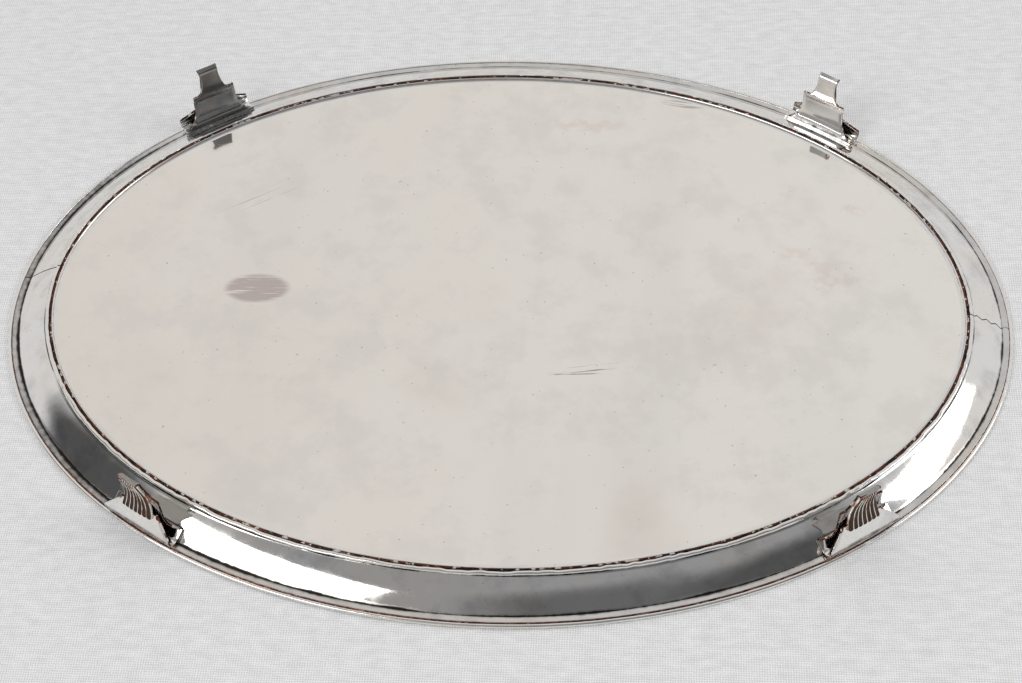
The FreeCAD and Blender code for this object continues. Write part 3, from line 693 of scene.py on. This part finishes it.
def rub_share(insets):
    """Rubbing is strongest at the outer edge of the flange."""
    return np.clip(1 - (insets - FLANGE_START) / 1.2, 0, 1) * 0.8


def flange_shade(angles):
    """How much painted shade darkens the flange: most at the left, a little at the near right."""
    turn = np.degrees(angles) % 360
    spots = (
        (176, 22, 0.34), (214, 20, 0.40), (150, 16, 0.30),
        (248, 20, 0.20), (300, 26, 0.22), (340, 14, 0.12),
    )
    total = np.full_like(turn, 0.10)
    for middle, spread, depth in spots:
        total += depth * np.exp(-((turn - middle) / spread) ** 2)
    return total


def flange_shade_share(insets):
    """The painted shade lies on the flange and thins out up the wall."""
    return np.clip(1 - np.maximum(insets - FLANGE_END, 0) / 0.8, 0, 1)


def rim_strip():
    """The two halves of the strip and the brazed seams where they meet."""
    insets = np.array([c[0] for c in rim_columns()])
    steps = np.linspace(0, 1, ROUND // 2 + 1)[:, None]
    right = {sign: seam_angles(insets, 1, sign * SEAM / 2) for sign in (-1, 1)}
    left = {sign: seam_angles(insets, -1, sign * SEAM / 2) for sign in (-1, 1)}
    fade = np.clip(np.minimum(steps, 1 - steps) / SEAM_REACH, 0, 1)
    for name, first, last in (("front", left[-1], 2 * math.pi + right[-1]), ("back", right[1], left[1])):
        even = first.mean() + (last.mean() - first.mean()) * steps
        ends = np.where(steps < 0.5, first - first.mean(), last - last.mean())
        strip_piece(f"rim_strip_{name}", even + ends * (1 - fade), "silver_plate", f"rim_{name}")
    for name, pair in (("left", left), ("right", right)):
        strip_piece(f"seam_{name}", np.stack([pair[-1], pair[1]]), "braze", f"end_seam_{name}",
                    sink=0.04, material="joint")


# ---------------------------------------------------------------- the border
CREASE, BEAD_LAP = 1.25, 1.6                     # insets where the bead's lap meets the flange
REED, REED_WIDTH = 0.6, 1.05                     # a reed's radius and width
REED_SETBACK = 0.1                               # from the flange's edge to the first reed


def border_strips():
    """The lapped silver border: a bead round the edge and two smaller reeds on the serving side."""
    depth = FLANGE_BOTTOM
    reed_start = FLANGE_START + REED_SETBACK
    sink = math.sqrt(REED ** 2 - (REED_WIDTH / 2) ** 2)
    outline = [(reed_start + 2 * REED_WIDTH, depth), (FLANGE_START, depth)]
    for turn in np.radians(np.linspace(20, 270, 22)):
        outline.append((BEAD + BEAD * math.cos(turn), BEAD + BEAD * math.sin(turn)))
    for k in range(2):
        middle = reed_start + REED_WIDTH * (k + 0.5)
        for turn in np.linspace(-1, 1, 7):
            across = turn * REED_WIDTH / 2
            outline.append((middle + across, depth * 0.5 + sink - math.sqrt(REED ** 2 - across ** 2)))
    insets = np.array([c[0] for c in outline])
    heights = np.array([max(c[1], 0.0) for c in outline])
    half = ROUND // 2
    lapped = np.where(insets < BEAD_LAP, 0.10 + 0.22 * (insets > CREASE), 0.0)
    for name, first in (("front", math.pi), ("back", 0.0)):
        angles = first + np.arange(half + 1) / half * math.pi
        points = oval_rows(angles, insets, heights)
        beat = around(angles, 300, 41) * 0.05
        upper = heights > BEAD
        points[..., 2] += beat[:, None] * upper[None]
        wear = lapped[None] + rubbed(angles)[:, None] * 0.75
        piece = grid_mesh(f"border_strip_{name}", points, ["border"] * len(outline),
                          fields={"wear": wear, "grime_and_shade": np.where(insets > CREASE, 0.3, 0.0)})
        placed(piece, "silver_border", f"border_{name}")


# ---------------------------------------------------------------- the feet
FOOT_INSET = 10.6                                # where a foot's own frame stands on the wall
FOOT_LEVEL = 6.4
FOOT_GAUGE = 1.0
FLAP_SLOPE = 32.0
LEG_LEAN, NECK_LEAN = 30.0, 12.0
SWEEP = 20.0
# A sheet's walk is its start, its first heading, then lines (length,) and bends (radius, heading).
ROLL_WALK = ((1.61, -1.01), -FLAP_SLOPE, ((3.7,), (3.0, 90 + LEG_LEAN), (4.4,), (SWEEP, 112.0)))
LEG_WALK = ((0.0, 0.0), -FLAP_SLOPE,
            ((5.6,), (3.0, 90 + LEG_LEAN), (4.4,), (SWEEP, 90 - NECK_LEAN), (6.0,)))
BRACKET_WALK = ((1.97, -0.60), 50.0,
                ((1.0,), (6.0, 90.0), (10.7,), (SWEEP, 90 - NECK_LEAN), (6.0,), (1.4, 30.0), (1.3,)))
ROLL_HALF, ROLL_HALF_TOP, TAPER_START, TAPER_END = 15.7, 8.9, 0.6, 6.8
HEEL, WAIST = (14.8, -0.5), (9.6, 7.5)           # the bracket's outline as (half width, height)
SHOULDER, NECK, TOP = (9.3, 15.3), (5.1, 18.0), (4.8, 27.5)


def bend_line(walk):
    """A bent sheet's middle line as points (out, up), with the headings there."""
    start, first, steps = walk
    place, heading = np.array(start), math.radians(first)
    points, headings = [place], [heading]
    for step in steps:
        target = heading if len(step) == 1 else math.radians(step[1])
        length = step[0] if len(step) == 1 else step[0] * abs(target - heading)
        parts = max(3, int(length / 0.4))
        change = (target - heading) / parts
        for _ in range(parts):
            middle = heading + change / 2
            place = place + np.array([math.cos(middle), math.sin(middle)]) * length / parts
            heading += change
            points.append(place)
            headings.append(heading)
    return np.array(points), np.array(headings)


def arc_half(height, start, end, radius):
    """Half width on a hollow arc between two (half width, height) points."""
    start, end = np.array(start), np.array(end)
    chord = end - start
    length = np.hypot(*chord)
    across = np.array([-chord[1], chord[0]]) / length
    if across[0] < 0:
        across = -across
    centre = (start + end) / 2 + across * math.sqrt(radius ** 2 - (length / 2) ** 2)
    return centre[0] - math.sqrt(max(radius ** 2 - (height - centre[1]) ** 2, 0.0))


def roll_half(height):
    """The front sheet's half width: full round the roll, then tapering up to the shell."""
    return float(np.interp(height, [TAPER_START, TAPER_END], [ROLL_HALF, ROLL_HALF_TOP]))


def bracket_half(height):
    """The back sheet's half width: hollow flare, waist, pointed shoulder, hollow and slim neck."""
    if height < WAIST[1]:
        return arc_half(max(height, HEEL[1]), HEEL, WAIST, 9.0)
    if height < SHOULDER[1]:
        return float(np.interp(height, [WAIST[1], SHOULDER[1]], [WAIST[0], SHOULDER[0]]))
    if height < NECK[1]:
        return arc_half(height, SHOULDER, NECK, 3.2)
    return arc_half(height, NECK, TOP, 14.0)


def foot_frame(angle):
    """Origin and the outward, along and up directions of a foot's own frame."""
    turn = math.radians(angle)
    outward = np.array([math.cos(turn) / OVAL_LENGTH, math.sin(turn) / OVAL_WIDTH, 0.0])
    outward /= np.linalg.norm(outward)
    along = np.array([-outward[1], outward[0], 0.0])
    edge = np.array([OVAL_LENGTH * math.cos(turn), OVAL_WIDTH * math.sin(turn), 0.0])
    origin = edge - outward * FOOT_INSET + np.array([0, 0, FOOT_LEVEL])
    return origin, outward, along


def bent_sheet(name, angle, walk, half_at, look, camber=0.0):
    """A sheet that follows its walk, finished in the material that look names. Its cut sides are bare
    copper, and camber is how far its middle swells outwards."""
    line, headings = bend_line(walk)
    rows = with_shoulder([(*spot, heading) for spot, heading in zip(line, headings)])
    across = np.linspace(-1, 1, 13)
    soft, thick = 0.22, FOOT_GAUGE / 2
    origin, outward, along = foot_frame(angle)
    points, wear, grime_and_shade = [], [], []
    for out, up, heading in rows:
        half = half_at(up)
        side_loop = [(half - 0.06, thick - 0.08), (half, thick - soft), (half, soft - thick),
                     (half - 0.06, 0.08 - thick)]
        loop = [(share * (half - soft), thick) for share in across] + side_loop
        loop += [(share * (half - soft), -thick) for share in across[::-1]]
        loop += [(-side, off) for side, off in side_loop[::-1]]
        row = []
        for side, off in loop:
            off += camber * (1 - (side / half) ** 2)
            row.append(origin + outward * (out + math.sin(heading) * off) + along * side
                       + np.array([0, 0, up - math.cos(heading) * off]))
        points.append(row)
        wear.append([0.60 * max(0.0, (abs(side) / half - 0.90) / 0.10) for side, off in loop])
        # painted shade: dark bands at the heel's bend and just over the pointed shoulder, dulling the
        # bright reflections there
        heel_shade = 0.62 * math.exp(-((up + 0.3) / 1.3) ** 2)
        shade = heel_shade + 0.46 * math.exp(-((up - SHOULDER[1]) / 0.9) ** 2)
        grime_and_shade.append([shade] * len(loop))
    width = len(across)
    slots = ([look] * width + ["edge"] * 3 + [look]) * 2
    wear = np.array(wear)
    wear[-4:] += 0.35                            # the tip is rubbed through
    fields = {"wear": wear, "grime_and_shade": np.array(grime_and_shade)}
    return grid_mesh(name, np.array(points), slots, fields=fields, sharp=45)


def with_shoulder(rows):
    """Adds rows just under and just over the pointed shoulder."""
    out = []
    for low, high in zip(rows[:-1], rows[1:]):
        out.append(low)
        if low[1] < SHOULDER[1] <= high[1]:
            for height in (SHOULDER[1] - 0.06, SHOULDER[1] + 0.001, SHOULDER[1] + 0.12):
                share = (height - low[1]) / (high[1] - low[1])
                if 0 < share < 1:
                    out.append(tuple(a + (b - a) * share for a, b in zip(low, high)))
    out.append(rows[-1])
    return out


def foot(place, angle):
    """A foot: the back bracket and the front sheet that is rolled into an open tube along the wall."""
    # three feet take the darkened finish: tarnish together with painted shade
    look = "foot" if place == "back_right" else "foot_dark"
    bracket = bent_sheet(f"bracket_{place}", angle, BRACKET_WALK, bracket_half, look, camber=0.25)
    placed(bracket, "silver_foot", f"foot_{place}")
    tube = bent_sheet(f"foot_tube_{place}", angle, ROLL_WALK, roll_half, "foot")
    placed(tube, "silver_foot", f"foot_roll_{place}")


# ---------------------------------------------------------------- the shells
LOBES = 7
SHELL_LOW, SHELL_HIGH = 6.4, 25.2
SHELL_HALF_LOW, SHELL_HALF_HIGH = 7.0, 3.7
LOBE_ROUNDNESS = 0.56                            # radius of a lobe over its width
SHELL_BACK, SHELL_RIM, SHELL_FACE = 0.5, 0.55, 1.75    # distances from the foot's middle line
RIDGE_WIDTH, RIDGE_RISE, FLUTE_DEPTH, SHELL_CROWN = 0.24, 0.30, 0.28, 0.45


def shell(place, angle):
    """A stamped scallop shell on the foot's outer face: hollow flutes between ridges that loop round
    their ends."""
    line, headings = bend_line(LEG_WALK)
    lowest = int(np.argmin(line[:, 1]))
    line, headings = line[lowest:], headings[lowest:]
    origin, outward, along = foot_frame(angle)
    lobe_width = 2 * SHELL_HALF_LOW / LOBES
    radius = lobe_width * LOBE_ROUNDNESS
    across = np.linspace(-1, 1, LOBES * 10 + 1)
    lengths = np.concatenate([[0.0], np.cumsum(np.linspace(1.0, 3.0, 44))])
    lengths /= lengths[-1]
    faces = []
    for outer in (True, False):
        rows = []
        for g in lengths:
            row = []
            for f in across:
                spot = (f + 1) / 2 * LOBES
                local = (spot - min(int(spot), LOBES - 1)) * 2 - 1
                bulge = math.sqrt(max(radius ** 2 - (local * lobe_width / 2) ** 2, 0.0))
                start = SHELL_LOW - bulge
                height = start + (SHELL_HIGH - start) * g
                taper = (height - SHELL_LOW) / (SHELL_HIGH - SHELL_LOW)
                half = SHELL_HALF_LOW + (SHELL_HALF_HIGH - SHELL_HALF_LOW) * max(taper, 0)
                local_width = half / LOBES
                ridge_side = (1 - abs(local)) * local_width
                ridge_end = height - start
                distance = min(ridge_side, ridge_end)
                ridge = math.exp(-(distance / RIDGE_WIDTH) ** 2)
                hollow = min(distance / local_width, 1.0)
                rim = min(1.0, (1 - abs(f)) * half / 0.35, ridge_end / 0.25, (SHELL_HIGH - height) / 0.4)
                relief = RIDGE_RISE * ridge - FLUTE_DEPTH * math.sin(hollow * math.pi / 2)
                crown = SHELL_CROWN * (1 - f * f) * (1 - taper)
                rise = SHELL_FACE + relief + crown - SHELL_RIM
                offset = SHELL_RIM + rise * max(rim, 0.0) ** 0.5 if outer else SHELL_BACK
                row.append((f * half, height, offset, ridge))
            rows.append(row)
        faces.append(np.array(rows))
    ups = line[:, 1]
    outs = line[:, 0]

    def world(grid):
        """A grid's sides, heights and offsets, laid along the leg and moved to the foot's place."""
        side, height, offset = grid[..., 0], grid[..., 1], grid[..., 2]
        out = np.interp(height, ups, outs)
        heading = np.interp(height, ups, headings)
        shift_out = out + np.sin(heading) * offset
        shift_up = height - np.cos(heading) * offset
        level = origin + outward * shift_out[..., None] + along * side[..., None]
        return level + np.array([0, 0, 1.0]) * shift_up[..., None]

    front, back = world(faces[0]), world(faces[1])
    points = np.concatenate([front, back[:, ::-1]], 1)
    relief = np.concatenate([faces[0][..., 3], np.zeros(faces[1].shape[:2])], 1)
    slots = ["shell"] * points.shape[1]
    piece = grid_mesh(f"scallop_{place}", points, slots, fields={"relief": relief}, sharp=180)
    return placed(piece, "silver_shell", f"shell_{place}", f"shell_fill_{place}")


# ---------------------------------------------------------------- what stays from the CAD model
def finish_cad_nodes():
    """Better materials for the CAD nodes whose shape is right already."""
    looks = {"border_fill": "solder", "foot_solder": "solder"}
    for node, piece in frame["nodes"].items():
        for start, look in looks.items():
            if node.startswith(start):
                piece.data.materials.clear()
                piece.data.materials.append(MATERIALS[look])


# ---------------------------------------------------------------- floor, light and camera
def floor():
    """A wide plain cloth-covered table."""
    mesh = bpy.data.meshes.new("table")
    half = 6.0
    corners = [(-half, -half, 0), (half, -half, 0), (half, half, 0), (-half, half, 0)]
    mesh.from_pydata(corners, [], [(0, 1, 2, 3)])
    mesh.materials.append(MATERIALS["floor"])
    table = bpy.data.objects.new("table", mesh)
    bpy.context.scene.collection.objects.link(table)


def direction(azimuth, elevation):
    """A unit vector. Azimuth 0 is towards -Y and 90 to the right. Elevation is above the table."""
    a, e = math.radians(azimuth), math.radians(elevation)
    return Vector((math.sin(a) * math.cos(e), -math.cos(a) * math.cos(e), math.sin(e)))


# Patches of the studio's walls: ((azimuth, elevation), half angle, softness, level, strength).
STUDIO, OVERHEAD = 0.72, 0.45                    # levels of the walls and of the ceiling
PATCHES = (
    ((0, 20), 46, 24, 0.42, 0.7),
    ((10, 68), 38, 10, 0.30, 0.95),
    ((16, 46), 14, 7, 0.12, 0.9),
    ((50, 36), 17, 6, 0.07, 0.92),
    ((-82, 32), 17, 5, 0.05, 0.95),
)


def studio_world():
    """The room as the silver sees it: soft walls, darker on the camera's side and overhead there."""
    world = bpy.data.worlds.new("studio")
    world.use_nodes = True
    s = Shader.__new__(Shader)
    s.start(world.node_tree)
    way = s.node("ShaderNodeTexCoord").outputs["Generated"]
    height = s.node("ShaderNodeSeparateXYZ", {0: way}).outputs[2]
    level = s.blend(s.step(height, 0.92, 0.99), STUDIO, OVERHEAD)
    for (azimuth, elevation), half, soft, value, strength in PATCHES:
        towards = s.node("ShaderNodeVectorMath", {0: way, 1: direction(azimuth, elevation)},
                         operation="DOT_PRODUCT").outputs["Value"]
        edge, core = (math.cos(math.radians(turn)) for turn in (half + soft, max(half - soft, 1)))
        inside = s.step(towards, edge, core)
        level = s.blend(s.maths("MULTIPLY", inside, strength), level, value)
    tint = s.node("ShaderNodeMix", {0: level, 6: (0.96, 0.98, 1.04, 1), 7: (1.0, 0.985, 0.96, 1)},
                  data_type="RGBA").outputs[2]
    background = s.node("ShaderNodeBackground", {"Color": tint, "Strength": level})
    s.node("ShaderNodeOutputWorld", {"Surface": background.outputs[0]})
    bpy.context.scene.world = world


def softbox(name, azimuth, elevation, width, height, distance, radiance):
    """A rectangular light that faces the salver."""
    light = bpy.data.lights.new(name, "AREA")
    light.shape = "RECTANGLE"
    light.size, light.size_y = width, height
    light.energy = radiance * width * height * math.pi
    lamp = bpy.data.objects.new(name, light)
    lamp.location = direction(azimuth, elevation) * distance
    lamp.rotation_euler = direction(azimuth, elevation).to_track_quat("Z", "Y").to_euler()
    lamp.visible_camera = False
    bpy.context.scene.collection.objects.link(lamp)
    return lamp


def camera():
    """The camera: above the near side and a little to the right, tilted by a few degrees."""
    data = bpy.data.cameras.new("view")
    data.lens = LENS_MM
    data.sensor_width = SENSOR_MM
    back = direction(CAMERA_AZIMUTH, CAMERA_ELEVATION)
    right = Vector((0, 0, 1)).cross(back).normalized()
    up = back.cross(right)
    roll = math.radians(CAMERA_ROLL)
    level_right = right * math.cos(roll) + up * math.sin(roll)
    level_up = up * math.cos(roll) - right * math.sin(roll)
    turned = Matrix((level_right, level_up, back)).transposed().to_4x4()
    seen = bpy.data.objects.new("view", data)
    seen.matrix_world = Matrix.Translation(CAMERA_TARGET + back * CAMERA_DISTANCE) @ turned
    bpy.context.scene.collection.objects.link(seen)
    bpy.context.scene.camera = seen


bpy.context.scene.view_settings.view_transform = "Standard"
camera()
studio_world()
softbox("softbox_left", -46, 41, 1.25, 0.80, 2.2, 3.2)
softbox("softbox_right", 92, 35, 1.2, 0.7, 2.2, 3.0)
softbox("fill_above", 0, 90, 3.0, 3.0, 3.0, 0.52).visible_glossy = False
floor()
base_plate()
seam_solder()
rim_strip()
border_strips()
for corner, where in FEET.items():
    foot(corner, where)
    shell(corner, where)
finish_cad_nodes()
